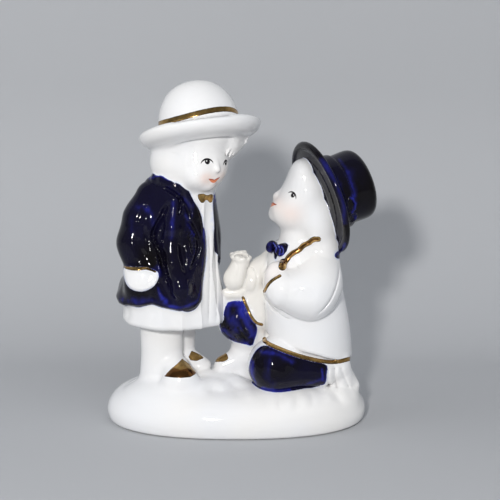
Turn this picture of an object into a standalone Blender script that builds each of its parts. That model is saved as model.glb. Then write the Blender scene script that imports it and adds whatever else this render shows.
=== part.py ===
"""Porcelain group of two children, slip cast in one piece on an oval mound.

A standing child in a brimmed hat and an open coat looks down at a kneeling child in a
top hat, who holds up a small bunch of flowers. The figures, their clothes and the mound
are one casting, so the model is one closed body: every limb, garment and hat is made
from its own sizes as a ball, a tapering limb, a stack of ovals or a turned profile, all
of them are fused by a voxel remesh, softened as a glaze softens a casting, thinned, and
cut flat underneath. Lengths are in millimetres until the mesh is made, in metres after.
X runs from the standing child to the kneeling one, -Y is the front, +Z is up, and the
origin is under the middle of the mound.
"""

import math

import bmesh
import bpy
import numpy as np
from mathutils import Vector

MM = 0.001

# ---------------------------------------------------------------- overall sizes
MOUND_HALF_WIDTH = 45.6
MOUND_HALF_DEPTH = 26.0
MOUND_POWER = 2.3  # squareness of the oval footprint, 2 is an ellipse
# share of the footprint, height: a tucked-in foot, a full side, a low crown
MOUND_CURVE = [
    (0.955, 0.0), (0.985, 0.8), (1.0, 3.2), (0.992, 5.6), (0.955, 8.2),
    (0.89, 10.4), (0.79, 12.1), (0.64, 13.4), (0.4, 14.2), (0.0, 14.5),
]
SUNK = 1.5  # how far the raw mound goes below the cut that makes the underside

# standing child
GIRL_LEG_KEYS = [(11, -25.6, -1.0, 8.6, 7.8), (18, -25.8, -1.0, 7.9, 7.2), (26, -25.9, -1.0, 7.6, 6.8), (38, -25.8, -0.5, 8.2, 7.4)]
GIRL_FAR_LEG_KEYS = [(11, -20.4, 6.0, 6.3, 5.6), (20, -20.6, 6.0, 5.8, 5.2), (38, -20.6, 5.0, 6.2, 5.6)]
DRESS_KEYS = [
    (35.4, -21.0, -0.5, 18.9, 16.4), (41, -20.8, -0.5, 18.4, 16.0), (48, -20.0, -0.5, 17.0, 15.2),
    (56, -18.9, -0.5, 14.6, 13.6), (66, -17.7, -0.5, 12.4, 12.2), (76, -16.4, -1.0, 10.4, 10.8),
    (82, -15.6, -1.5, 8.4, 9.4), (87, -15.2, -1.8, 7.2, 8.2),
]
DRESS_FACES = math.radians(-32)  # heading of the dress front about Z, from +X
PLEATS = 17  # pleats in a full turn, the front third shows
PLEAT_DEPTH = 0.62
COAT_KEYS = [
    (41.4, -21.6, 0.3, 20.9, 18.2), (48, -21.2, 0.3, 19.0, 17.0), (56, -20.6, 0.2, 16.8, 15.6),
    (66, -20.0, 0.2, 14.9, 14.4), (76, -19.2, 0.0, 12.9, 12.9), (82, -18.4, -0.4, 11.4, 11.3),
    (86.6, -17.8, -0.8, 9.4, 9.4),
]
COAT_OPEN = (math.radians(-60), math.radians(-8))  # headings of the two front edges
COAT_THICK = 3.4
GIRL_HEAD = (-13.4, -3.0, 91.4)
GIRL_LOOKS = math.radians(39)  # from -Y towards +X
GIRL_HAT_AT, GIRL_HAT_AXIS = (-12.4, -1.0, 103.0), (-0.147, 0.286, 0.946)
GIRL_CROWN = [
    (13.0, -4), (13.7, 0.0), (13.6, 2.6), (13.0, 6.0), (11.8, 9.2), (9.8, 12.2), (6.9, 14.6), (3.6, 15.9), (0, 16.3),
]
GIRL_BRIM = [
    (12.6, 1.2), (14.4, 0.9), (16.2, 2.0), (18.4, 2.1), (20.1, 0.7), (20.7, -1.6),
    (19.9, -4.0), (17.8, -5.4), (15.2, -5.6), (13.0, -4.6), (12.0, -1.6),
]

# kneeling child
TORSO_KEYS = [
    (18, 25.5, 0.5, 15.6, 15.8), (24, 25.4, 0.4, 15.4, 15.4), (34, 24.6, 0.2, 15.2, 14.6),
    (44, 23.4, 0.0, 14.2, 13.2), (52, 22.8, 0.0, 13.0, 12.2), (58, 22.6, 0.2, 12.2, 11.2), (63, 22.8, 0.4, 9.6, 9.6),
]
HEM_Z, HEM_X, HEM_FALL = 31.8, 9.7, 0.315  # height of the coat's hem, where it is so, and its fall per mm to the back
BOY_HAT_AT, BOY_HAT_AXIS = (29.6, 0.0, 79.2), (0.886, 0.383, 0.260)
BOY_CROWN = [
    (13.8, -2), (14.2, 0.6), (13.2, 3.2), (12.6, 6.0), (12.1, 9.0), (11.8, 12.0), (11.2, 13.6), (9.8, 14.6), (6.0, 15.0), (0, 15.1),
]
BOY_BRIM = [
    (11.0, 1.2), (15.0, 1.3), (18.0, 2.0), (19.6, 2.6), (20.4, 1.8), (20.3, 0.2), (18.6, -0.8), (15.0, -1.4), (11.0, -1.6),
]

VOXEL = 0.62  # mm
SOFTEN = 4  # passes
TARGET_TRIANGLES = 9400

PORCELAIN = (0.86, 0.855, 0.84, 1.0)


# ---------------------------------------------------------------- helpers
def spline(keys, steps=6):
    """A smooth curve through rows of numbers (Catmull-Rom)."""
    k = np.array(keys, float)
    p = np.vstack([2 * k[0] - k[1], k, 2 * k[-1] - k[-2]])
    out = []
    for i in range(1, len(p) - 2):
        a, b, c, d = p[i - 1 : i + 3]
        for t in np.arange(steps) / steps:
            out.append(0.5 * (2 * b + (c - a) * t + (2 * a - 5 * b + 4 * c - d) * t**2 + (3 * b - a - 3 * c + d) * t**3))
    out.append(k[-1])
    return np.array(out)


def axes_of(axis):
    """Two directions across an axis, then the axis itself."""
    w = Vector(axis).normalized()
    u = Vector((0, 0, 1)).cross(w)
    u = u.normalized() if u.length > 1e-6 else Vector((1, 0, 0))
    return u, w.cross(u), w


def rings_to_body(bm, rings):
    """Closes a stack of equal rings into one body: sides by quads, ends by a fan to the ring's middle."""
    made = [[bm.verts.new(p) for p in ring] for ring in rings]
    n = len(made[0])
    for low, high in zip(made, made[1:]):
        for i in range(n):
            j = (i + 1) % n
            bm.faces.new((low[i], low[j], high[j], high[i]))
    for ring, flip in ((made[0], True), (made[-1], False)):
        mid = sum((v.co for v in ring), Vector()) / n
        tip = bm.verts.new(mid)
        for i in range(n):
            a, b = ring[i], ring[(i + 1) % n]
            bm.faces.new((tip, b, a) if flip else (tip, a, b))


def ball(bm, at, radii, heading=0.0):
    """An ellipsoid: radii across, along and up, turned about Z by heading."""
    radii = (radii,) * 3 if isinstance(radii, (int, float)) else radii
    c, s = math.cos(heading), math.sin(heading)
    rings = []
    for j in range(1, 24):
        p = math.pi * (j / 24 - 0.5)
        ring = []
        for i in range(44):
            t = 2 * math.pi * i / 44
            x, y = radii[0] * math.cos(p) * math.cos(t), radii[1] * math.cos(p) * math.sin(t)
            ring.append(Vector((at[0] + c * x - s * y, at[1] + s * x + c * y, at[2] + radii[2] * math.sin(p))))
        rings.append(ring)
    rings_to_body(bm, rings)


def limb(bm, points, radii):
    """A round limb through points: one round-ended, tapering length for each span."""
    for (a, b), (ra, rb) in zip(zip(points, points[1:]), zip(radii, radii[1:])):
        a, b = Vector(a), Vector(b)
        u, v, w = axes_of(b - a)
        half = [math.radians(d) for d in (84, 72, 60, 48, 36, 24, 12)]
        spans = [(a - w * ra * math.sin(p), ra * math.cos(p)) for p in half]
        spans += [(a.lerp(b, i / 6), ra + (rb - ra) * i / 6) for i in range(7)]
        spans += [(b + w * rb * math.sin(p), rb * math.cos(p)) for p in reversed(half)]
        rings_to_body(
            bm,
            [[c + (u * math.cos(t) + v * math.sin(t)) * r for t in (2 * math.pi * i / 40 for i in range(40))] for c, r in spans],
        )


def stack(bm, keys, shape=None, sides=160, round_end=1.4):
    """Ovals stacked in Z, with rounded ends; shape(angle, z) adds to the radius."""
    cur = spline(keys, 8)
    z0, z1 = cur[0][0], cur[-1][0]
    zs = np.linspace(z0, z1, max(16, int((z1 - z0) / 0.8)))
    zs = np.unique(np.concatenate([z0 + round_end * np.array([0, 0.1, 0.3, 0.6, 1]), zs[(zs > z0 + round_end) & (zs < z1 - round_end)], z1 - round_end * np.array([1, 0.6, 0.3, 0.1, 0])]))
    rings = []
    for z in zs:
        cx, cy, a, b = (float(np.interp(z, cur[:, 0], cur[:, i])) for i in range(1, 5))
        e = min(z - z0, z1 - z, round_end)
        inset = round_end - math.sqrt(max(0.0, round_end**2 - (round_end - e) ** 2))
        ring = []
        for i in range(sides):
            t = 2 * math.pi * i / sides
            r = 1.0 / math.hypot(math.cos(t) / a, math.sin(t) / b) - inset
            r += shape(t, z) if shape else 0.0
            ring.append(Vector((cx + r * math.cos(t), cy + r * math.sin(t), z)))
        rings.append(ring)
    rings_to_body(bm, rings)


def turned(bm, at, axis, profile, sides=96, closed=False):
    """A profile of (radius, height) turned about an axis; a closed one makes a ring."""
    u, v, w = axes_of(axis)
    c = Vector(at)
    if closed:
        pts = spline(list(profile) + [profile[0]], 3)[:-1]
    else:
        pts = spline(profile, 3)
        pts = np.vstack([[pts[0][0] * 0.02, pts[0][1]], pts])
        pts[-1][0] = 0.02
    rings = [
        [c + w * h + (u * math.cos(t) + v * math.sin(t)) * r for t in (2 * math.pi * i / sides for i in range(sides))]
        for r, h in pts
    ]
    if not closed:
        rings_to_body(bm, rings)
        return
    made = [[bm.verts.new(p) for p in ring] for ring in rings]
    for low, high in zip(made, made[1:] + made[:1]):
        for i in range(sides):
            j = (i + 1) % sides
            bm.faces.new((low[i], high[i], high[j], low[j]))


# ---------------------------------------------------------------- the parts of the casting
def mound(bm):
    """An oval mound with a soft crown, and low swells under the feet and the knee."""
    curve = spline([(0.955, -SUNK)] + MOUND_CURVE, 3)
    sides = 180
    rings = []
    for s, z in curve:
        ring = []
        for i in range(sides):
            t = 2 * math.pi * i / sides
            q = ((abs(math.cos(t)) / MOUND_HALF_WIDTH) ** MOUND_POWER + (abs(math.sin(t)) / MOUND_HALF_DEPTH) ** MOUND_POWER) ** (1 / MOUND_POWER)
            r = max(s, 0.003) / q
            ring.append(Vector((r * math.cos(t), r * math.sin(t), z)))
        rings.append(ring)
    rings_to_body(bm, rings)
    for at, radii in (
        ((-21, -5, 10.0), (16, 13, 6.4)),
        ((19, -7, 8.6), (19, 13, 6.8)),
        ((-6, -5, 12.0), (9, 7, 3.6)),
        ((36, -4, 8.6), (6.5, 9, 6.0)),
    ):
        ball(bm, at, radii)


def standing_child(bm):
    stack(bm, GIRL_LEG_KEYS)
    stack(bm, GIRL_FAR_LEG_KEYS)
    ball(bm, (-18.8, -8.6, 16.8), (5.6, 7.4, 5.2), math.radians(18))
    ball(bm, (-14.2, 1.0, 18.2), (4.0, 6.4, 4.6), math.radians(55))

    def pleat(t, z):
        w = (t - DRESS_FACES + math.pi) % (2 * math.pi) - math.pi
        front = min(max((math.cos(w) - 0.2) / 0.6, 0.0), 1.0)
        high = min(max((84.0 - z) / 10.0, 0.0), 1.0)
        return (PLEAT_DEPTH * front + 0.15) * high * math.cos(PLEATS * w)

    stack(bm, DRESS_KEYS, pleat, sides=300)

    def opening(t, z):
        t = (t + math.pi) % (2 * math.pi) - math.pi
        low, high = COAT_OPEN
        low -= math.radians(30) * min(max((z - 70.0) / 16.0, 0.0), 1.0) ** 1.5
        inside = min(max(min(t - low, high - t) / math.radians(4), 0.0), 1.0)
        return -COAT_THICK * inside

    stack(bm, COAT_KEYS, opening, sides=240)
    # the near sleeve, its hand in the pocket, and the far arm held close behind
    limb(bm, [(-28.2, -2.6, 79.0), (-31.0, -3.6, 72.0), (-33.0, -4.4, 64.0), (-32.2, -7.2, 57.5)], [6.2, 7.0, 7.3, 6.4])
    ball(bm, (-32.3, -7.6, 50.5), (7.2, 7.4, 8.6))
    limb(bm, [(-14.0, -11.8, 61.0), (-18.0, -12.6, 53.0), (-17.6, -13.2, 46.5)], [2.6, 4.8, 4.6])
    limb(bm, [(-14.0, 8.6, 78.0), (-12.4, 11.0, 68.0), (-12.0, 10.4, 58.0)], [5.2, 5.8, 5.0])
    # bobbed hair, and a round face turned between the viewer and the kneeling child
    ball(bm, (-16.6, 0.6, 91.6), (12.8, 12.8, 11.6))
    ball(bm, (-17.5, -1.0, 84.6), (9.8, 9.8, 6.0))
    ball(bm, (-12.0, -4.0, 98.0), (13.2, 11.6, 5.6))
    ball(bm, GIRL_HEAD, (11.4, 12.2, 10.2), GIRL_LOOKS)
    fx, fy = math.sin(GIRL_LOOKS), -math.cos(GIRL_LOOKS)
    hx, hy, hz = GIRL_HEAD
    ball(bm, (hx + 6.5 * fx, hy + 6.5 * fy, hz - 4.4), (7.2, 6.0, 5.2), GIRL_LOOKS)
    ball(bm, (hx + 12.4 * fx, hy + 12.4 * fy, hz - 0.9), (1.6, 1.9, 1.6), GIRL_LOOKS)
    # a tie at the neck
    ball(bm, (-11.6, -10.2, 80.6), (2.2, 1.6, 1.7), 0.3)
    ball(bm, (-8.6, -9.2, 80.7), (2.0, 1.6, 1.6), 0.6)
    turned(bm, GIRL_HAT_AT, GIRL_HAT_AXIS, GIRL_CROWN)
    turned(bm, GIRL_HAT_AT, GIRL_HAT_AXIS, GIRL_BRIM, closed=True)


def kneeling_child(bm):
    # the coat ends in a hem that falls towards the back
    torso = bmesh.new()
    stack(torso, TORSO_KEYS, sides=120)
    fall = Vector((HEM_FALL, 0, 1)).normalized()
    hit = bmesh.ops.bisect_plane(
        torso, geom=torso.verts[:] + torso.edges[:] + torso.faces[:], plane_co=Vector((HEM_X, 0, HEM_Z)),
        plane_no=fall, clear_inner=True,
    )
    edges = [g for g in hit["geom_cut"] if isinstance(g, bmesh.types.BMEdge)]
    bmesh.ops.contextual_create(torso, geom=edges)
    keep = bpy.data.meshes.new("torso")
    torso.to_mesh(keep)
    torso.free()
    bm.from_mesh(keep)
    bpy.data.meshes.remove(keep)
    limb(bm, [(20, 4, 33.0), (6.5, 2.4, 37.0)], [8.6, 6.8])
    # the near leg kneels, its foot upright on the toes
    limb(bm, [(24, -2.0, 29.0), (13.0, -9.6, 22.8), (27.0, -8.6, 20.6)], [9.0, 8.4, 5.4])
    limb(bm, [(31.0, -7.0, 19.0), (35.4, -5.4, 19.6)], [5.2, 4.8])
    limb(bm, [(35.2, -4.8, 22.0), (38.4, -4.2, 12.6)], [4.4, 4.2])
    # the far knee is raised over its foot
    limb(bm, [(6.0, 2.0, 36.0), (1.6, 0.6, 34.2), (3.2, 1.2, 28.0)], [7.4, 7.2, 5.6])
    limb(bm, [(3.4, 1.6, 30.0), (2.6, 2.0, 14.0)], [5.4, 5.8])
    ball(bm, (-1.4, 0.6, 18.2), (6.4, 4.0, 4.8), math.radians(10))
    # the near arm folds its hand on the chest, the far one holds up the flowers
    limb(bm, [(29.2, -4.6, 56.0), (27.4, -8.0, 50.5), (25.0, -10.4, 47.4), (16.4, -11.8, 49.4)], [7.0, 8.2, 8.4, 6.6])
    ball(bm, (12.6, -10.6, 55.0), (4.0, 4.2, 5.0))
    limb(bm, [(14.0, 4.5, 56.0), (7.5, 1.5, 50.5), (4.4, -0.6, 48.6)], [5.6, 4.6, 4.2])
    ball(bm, (-0.4, -2.4, 49.2), (4.2, 4.2, 5.6))
    limb(bm, [(0.2, -2.0, 53.0), (1.8, -1.2, 57.6)], [2.8, 3.0])
    # bow tie and lapel
    ball(bm, (12.6, -3.6, 62.2), (2.6, 2.0, 2.4))
    ball(bm, (15.6, -5.6, 61.4), (2.6, 2.0, 2.4))
    limb(bm, [(28.0, -9.6, 65.8), (22.5, -10.6, 61.6), (17.4, -10.8, 57.0)], [1.2, 1.3, 1.7])
    # head thrown back, with hair down to the collar
    ball(bm, (20.6, -0.2, 74.2), (9.0, 8.8, 8.6))
    ball(bm, (25.0, 0, 80.4), (9.4, 10.4, 10.0))
    ball(bm, (14.4, -0.2, 73.2), (3.2, 4.4, 3.4))
    ball(bm, (14.6, -0.2, 79.0), (1.6, 1.5, 1.6))
    ball(bm, (28.6, 0.2, 71.4), (8.8, 11.2, 12.0))
    ball(bm, (30.8, 0.4, 63.0), (6.0, 9.0, 6.0))
    limb(bm, [(21, -0.5, 70), (20.6, -1.2, 60)], [6.6, 7.2])
    turned(bm, BOY_HAT_AT, BOY_HAT_AXIS, BOY_CROWN)
    turned(bm, BOY_HAT_AT, BOY_HAT_AXIS, BOY_BRIM, closed=True)


# ---------------------------------------------------------------- fusing
def fused(bm):
    """Voxel remesh, softening and thinning, then the flat underside."""
    mesh = bpy.data.meshes.new("raw")
    bmesh.ops.scale(bm, verts=bm.verts, vec=(MM, MM, MM))
    bm.to_mesh(mesh)
    bm.free()
    ob = bpy.data.objects.new("raw", mesh)
    bpy.context.collection.objects.link(ob)
    re = ob.modifiers.new("fuse", "REMESH")
    re.mode, re.voxel_size, re.adaptivity = "VOXEL", VOXEL * MM, 0.0
    so = ob.modifiers.new("glaze", "SMOOTH")
    so.factor, so.iterations = 0.5, SOFTEN
    bpy.context.view_layer.update()
    got = ob.evaluated_get(bpy.context.evaluated_depsgraph_get())
    count = sum(len(p.vertices) - 2 for p in got.data.polygons)
    th = ob.modifiers.new("thin", "DECIMATE")
    th.decimate_type, th.use_collapse_triangulate = "COLLAPSE", True
    th.ratio = TARGET_TRIANGLES / count
    bpy.context.view_layer.update()
    got = ob.evaluated_get(bpy.context.evaluated_depsgraph_get())
    out = bmesh.new()
    out.from_mesh(got.data)
    bpy.data.objects.remove(ob)
    bpy.data.meshes.remove(mesh)
    hit = bmesh.ops.bisect_plane(out, geom=out.verts[:] + out.edges[:] + out.faces[:], plane_co=(0, 0, 0), plane_no=(0, 0, 1), clear_inner=True)
    rim = [g for g in hit["geom_cut"] if isinstance(g, bmesh.types.BMEdge)]
    for v in {v for e in rim for v in e.verts}:
        v.co.z = 0.0
    bmesh.ops.remove_doubles(out, verts=list({v for e in rim for v in e.verts}), dist=0.0001)
    rim = [e for e in out.edges if e.is_boundary]
    bmesh.ops.contextual_create(out, geom=rim)
    bmesh.ops.recalc_face_normals(out, faces=out.faces)
    bmesh.ops.triangulate(out, faces=[f for f in out.faces if len(f.verts) > 3])
    return out


def main():
    for ob in list(bpy.data.objects):
        bpy.data.objects.remove(ob)
    bm = bmesh.new()
    mound(bm)
    standing_child(bm)
    kneeling_child(bm)
    bm = fused(bm)
    mesh = bpy.data.meshes.new("figurine")
    bm.to_mesh(mesh)
    bm.free()
    mesh.shade_smooth()
    ob = bpy.data.objects.new("figurine", mesh)
    bpy.context.collection.objects.link(ob)
    mat = bpy.data.materials.new("glazed_porcelain")
    mat.use_nodes = True
    shader = mat.node_tree.nodes["Principled BSDF"]
    shader.inputs["Base Color"].default_value = PORCELAIN
    shader.inputs["Roughness"].default_value = 0.12
    shader.inputs["Metallic"].default_value = 0.0
    mesh.materials.append(mat)


main()
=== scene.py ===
"""Looks of a glazed porcelain group of two children on an oval mound.

The casting is one skin. It is worked as a field of solids that are fused with a soft
joint, pressed and raised along lines for folds and trims, then meshed. Lengths here are
in millimetres until the mesh is made. Paint is kept on the skin as distances to the
edges of each painted area, and the shaders turn these into crisp edges.
"""

import math

import bpy
import numpy as np
import openvdb
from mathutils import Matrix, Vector


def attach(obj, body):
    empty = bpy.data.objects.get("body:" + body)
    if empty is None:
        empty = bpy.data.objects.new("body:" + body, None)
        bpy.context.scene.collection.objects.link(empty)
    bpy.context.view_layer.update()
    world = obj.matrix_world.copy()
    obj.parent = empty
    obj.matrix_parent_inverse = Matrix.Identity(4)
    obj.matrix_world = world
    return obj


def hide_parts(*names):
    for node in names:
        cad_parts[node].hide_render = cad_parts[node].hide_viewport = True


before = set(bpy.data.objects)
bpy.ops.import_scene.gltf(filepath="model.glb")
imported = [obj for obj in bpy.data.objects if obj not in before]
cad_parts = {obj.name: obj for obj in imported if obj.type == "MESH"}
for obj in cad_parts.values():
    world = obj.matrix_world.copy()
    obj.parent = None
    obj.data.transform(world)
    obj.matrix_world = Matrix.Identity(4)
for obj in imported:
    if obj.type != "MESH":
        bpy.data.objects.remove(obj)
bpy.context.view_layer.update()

F32 = np.float32
GRID = 0.42
MOST_TRIANGLES = 196000

# ------------------------------------------------------------------ the camera
EYE = (4.9, -487.185, 172.832)
LOOKS_DOWN = math.radians(13.0)
FOCUS = 1440.92  # pixels of a 500-pixel picture
CD, SD = math.cos(LOOKS_DOWN), math.sin(LOOKS_DOWN)


def seen(x, y, z):
    """Where a point is in the 500-pixel picture, and how many millimetres a pixel is there."""
    a, b, c = x - EYE[0], y - EYE[1], z - EYE[2]
    depth = b * CD - c * SD
    return 250 + FOCUS * a / depth, 250 - FOCUS * (b * SD + c * CD) / depth, depth / FOCUS


def put(u, v, y):
    """The point at depth y that is seen at (u, v) in the 500-pixel picture."""
    t = (250 - v) / FOCUS
    b = y - EYE[1]
    c = b * (t * CD - SD) / (CD + t * SD)
    return (EYE[0] + (u - 250) / FOCUS * (b * CD - c * SD), y, EYE[2] + c)


# ------------------------------------------------------------------ fields
def clampv(a, lo, hi):
    return np.minimum(np.maximum(a, lo), hi)


def smin(a, b, k):
    if k <= 0:
        return np.minimum(a, b)
    h = np.maximum(k - np.abs(a - b), 0.0) / k
    return np.minimum(a, b) - h * h * k * 0.25


def smax(a, b, k):
    return -smin(-a, -b, k)


def step(a, lo, hi):
    t = clampv((a - lo) / (hi - lo), 0.0, 1.0)
    return t * t * (3.0 - 2.0 * t)


def unit(v):
    v = np.array(v, float)
    return v / np.linalg.norm(v)


def basis(axis, ref=(0, 0, 1)):
    """Rows: two directions across an axis, then the axis."""
    w = unit(axis)
    u = unit(np.cross(ref, w)) if abs(np.dot(unit(ref), w)) < 0.999 else np.array([1.0, 0, 0])
    return np.array([u, np.cross(w, u), w])


def turn(yaw, pitch=0.0, roll=0.0):
    """Rows: side, front and up of a thing that looks along -Y and is then turned to +X by yaw, up by pitch."""
    cy, sy, cp, sp = math.cos(yaw), math.sin(yaw), math.cos(pitch), math.sin(pitch)
    cr, sr = math.cos(roll), math.sin(roll)
    front = np.array([sy * cp, -cy * cp, sp])
    side = np.array([cy, sy, 0.0])
    up = np.cross(side, front) * -1.0
    return np.array([side * cr + up * sr, front, up * cr - side * sr])


def ball(c, r, R=None):
    r = (r, r, r) if np.isscalar(r) else r
    rm = max(r)

    def f(x, y, z):
        a, b, d = x - c[0], y - c[1], z - c[2]
        if R is not None:
            a, b, d = (R[i][0] * a + R[i][1] * b + R[i][2] * d for i in range(3))
        if r[0] == r[1] == r[2]:
            return np.sqrt(a * a + b * b + d * d) - r[0]
        k0 = np.sqrt((a / r[0]) ** 2 + (b / r[1]) ** 2 + (d / r[2]) ** 2)
        k1 = np.sqrt((a / r[0] ** 2) ** 2 + (b / r[1] ** 2) ** 2 + (d / r[2] ** 2) ** 2) + 1e-6
        return k0 * (k0 - 1.0) / k1

    f.box = [(c[i] - rm, c[i] + rm) for i in range(3)]
    return f


def limb(pts, rad, k=1.0):
    """A round limb through points, its radius changing along it."""
    pts = [np.array(p, float) for p in pts]

    def f(x, y, z):
        out = None
        for (a, b), (ra, rb) in zip(zip(pts, pts[1:]), zip(rad, rad[1:])):
            ab = b - a
            t = clampv(((x - a[0]) * ab[0] + (y - a[1]) * ab[1] + (z - a[2]) * ab[2]) / float(ab @ ab), 0, 1)
            d = np.sqrt((x - a[0] - t * ab[0]) ** 2 + (y - a[1] - t * ab[1]) ** 2 + (z - a[2] - t * ab[2]) ** 2)
            d = d - (ra + (rb - ra) * t)
            out = d if out is None else smin(out, d, k)
        return out

    f.box = [(min(p[i] - r for p, r in zip(pts, rad)), max(p[i] + r for p, r in zip(pts, rad))) for i in range(3)]
    return f


def spline(keys, n=8, closed=False):
    """A smooth curve through rows of numbers (Catmull-Rom), n steps a span."""
    k = np.array(keys, float)
    p = np.vstack([k[-1:], k, k[:2]]) if closed else np.vstack([2 * k[0] - k[1], k, 2 * k[-1] - k[-2]])
    out = []
    for i in range(1, len(p) - 2):
        a, b, c, d = p[i - 1 : i + 3]
        for t in np.arange(n) / n:
            out.append(0.5 * (2 * b + (c - a) * t + (2 * a - 5 * b + 4 * c - d) * t**2 + (3 * b - a - 3 * c + d) * t**3))
    if not closed:
        out.append(k[-1])
    return np.array(out)


def outline(r, z, pts, scale=1.0):
    """Signed distance to a closed outline in a plane."""
    best, inside = None, None
    n = len(pts)
    for i in range(n):
        (ar, az), (br, bz) = pts[i], pts[(i + 1) % n]
        if ar == 0 and br == 0:
            continue
        ax, bx = ar * scale, br * scale
        ex, ez = bx - ax, bz - az
        t = clampv(((r - ax) * ex + (z - az) * ez) / (ex * ex + ez * ez + 1e-9), 0, 1)
        d = (r - ax - t * ex) ** 2 + (z - az - t * ez) ** 2
        best = d if best is None else np.minimum(best, d)
        if az != bz:
            hit = ((az > z) != (bz > z)) & (r < ex * (z - az) / ez + ax)
            inside = hit if inside is None else inside ^ hit
    return np.where(inside, -1.0, 1.0) * np.sqrt(best)


def turned(c, axis, profile, wave=None):
    """A body turned about an axis from a profile of (radius, height)."""
    R = basis(axis)
    rm = max(max(p[0] for p in profile), max(abs(p[1]) for p in profile)) + 1.5

    def f(x, y, z):
        a, b, d = x - c[0], y - c[1], z - c[2]
        u, v, w = (R[i][0] * a + R[i][1] * b + R[i][2] * d for i in range(3))
        r = np.sqrt(u * u + v * v)
        if wave is not None:
            dr, dw = wave(u, v, w, r)
            r, w = r - dr, w - dw
        return outline(r, w, profile)

    f.box = [(c[i] - rm, c[i] + rm) for i in range(3)]
    return f


def loft(keys, relief=None, low=None, high=None, k=1.5):
    """Ovals stacked in z: rows of (z, x centre, y centre, half-width, half-depth), smooth between."""
    cur = spline(keys, 10)
    cur = cur[np.argsort(cur[:, 0])]
    z0, z1 = cur[0, 0], cur[-1, 0]

    def f(x, y, z):
        zz = np.asarray(z, float)
        cx, cy, a, b = (np.interp(zz, cur[:, 0], cur[:, i]).astype(F32) for i in range(1, 5))
        u, v = x - cx, y - cy
        k0 = np.sqrt((u / a) ** 2 + (v / b) ** 2)
        k1 = np.sqrt((u / (a * a)) ** 2 + (v / (b * b)) ** 2) + 1e-6
        d = np.maximum(k0, 0.35) * (k0 - 1.0) / np.maximum(k1, 0.35 / np.maximum(a, b))
        if relief is not None:
            d = d - relief(x, y, z, np.arctan2(v, u))
        lo = (z0 - z) if low is None else low(x, y, z)
        hi = (z - z1) if high is None else high(x, y, z)
        return smax(smax(d, lo, k), hi, k)

    m = 2.0
    w = np.maximum(cur[:, 3], cur[:, 4])
    f.box = [(min(cur[:, 1] - w) - m, max(cur[:, 1] + w) + m), (min(cur[:, 2] - w) - m, max(cur[:, 2] + w) + m), (z0, z1)]
    return f


def line_2d(u, v, pts):
    """Distance to an open line in the picture, and how far along it the nearest point is, 0 to 1."""
    best, along = None, None
    n = len(pts) - 1
    for i in range(n):
        (ax, ay), (bx, by) = pts[i][:2], pts[i + 1][:2]
        ex, ey = bx - ax, by - ay
        t = clampv(((u - ax) * ex + (v - ay) * ey) / (ex * ex + ey * ey + 1e-9), 0, 1)
        d = (u - ax - t * ex) ** 2 + (v - ay - t * ey) ** 2
        if best is None:
            best, along = d, (t + i) / n
        else:
            m = d < best
            best, along = np.where(m, d, best), np.where(m, (t + i) / n, along)
    return np.sqrt(best), along


def line_3d(x, y, z, pts):
    best = None
    for a, b in zip(pts, pts[1:]):
        a, b = np.array(a, float), np.array(b, float)
        ab = b - a
        t = clampv(((x - a[0]) * ab[0] + (y - a[1]) * ab[1] + (z - a[2]) * ab[2]) / (float(ab @ ab) + 1e-9), 0, 1)
        d = (x - a[0] - t * ab[0]) ** 2 + (y - a[1] - t * ab[1]) ** 2 + (z - a[2] - t * ab[2]) ** 2
        best = d if best is None else np.minimum(best, d)
    return np.sqrt(best)


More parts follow.
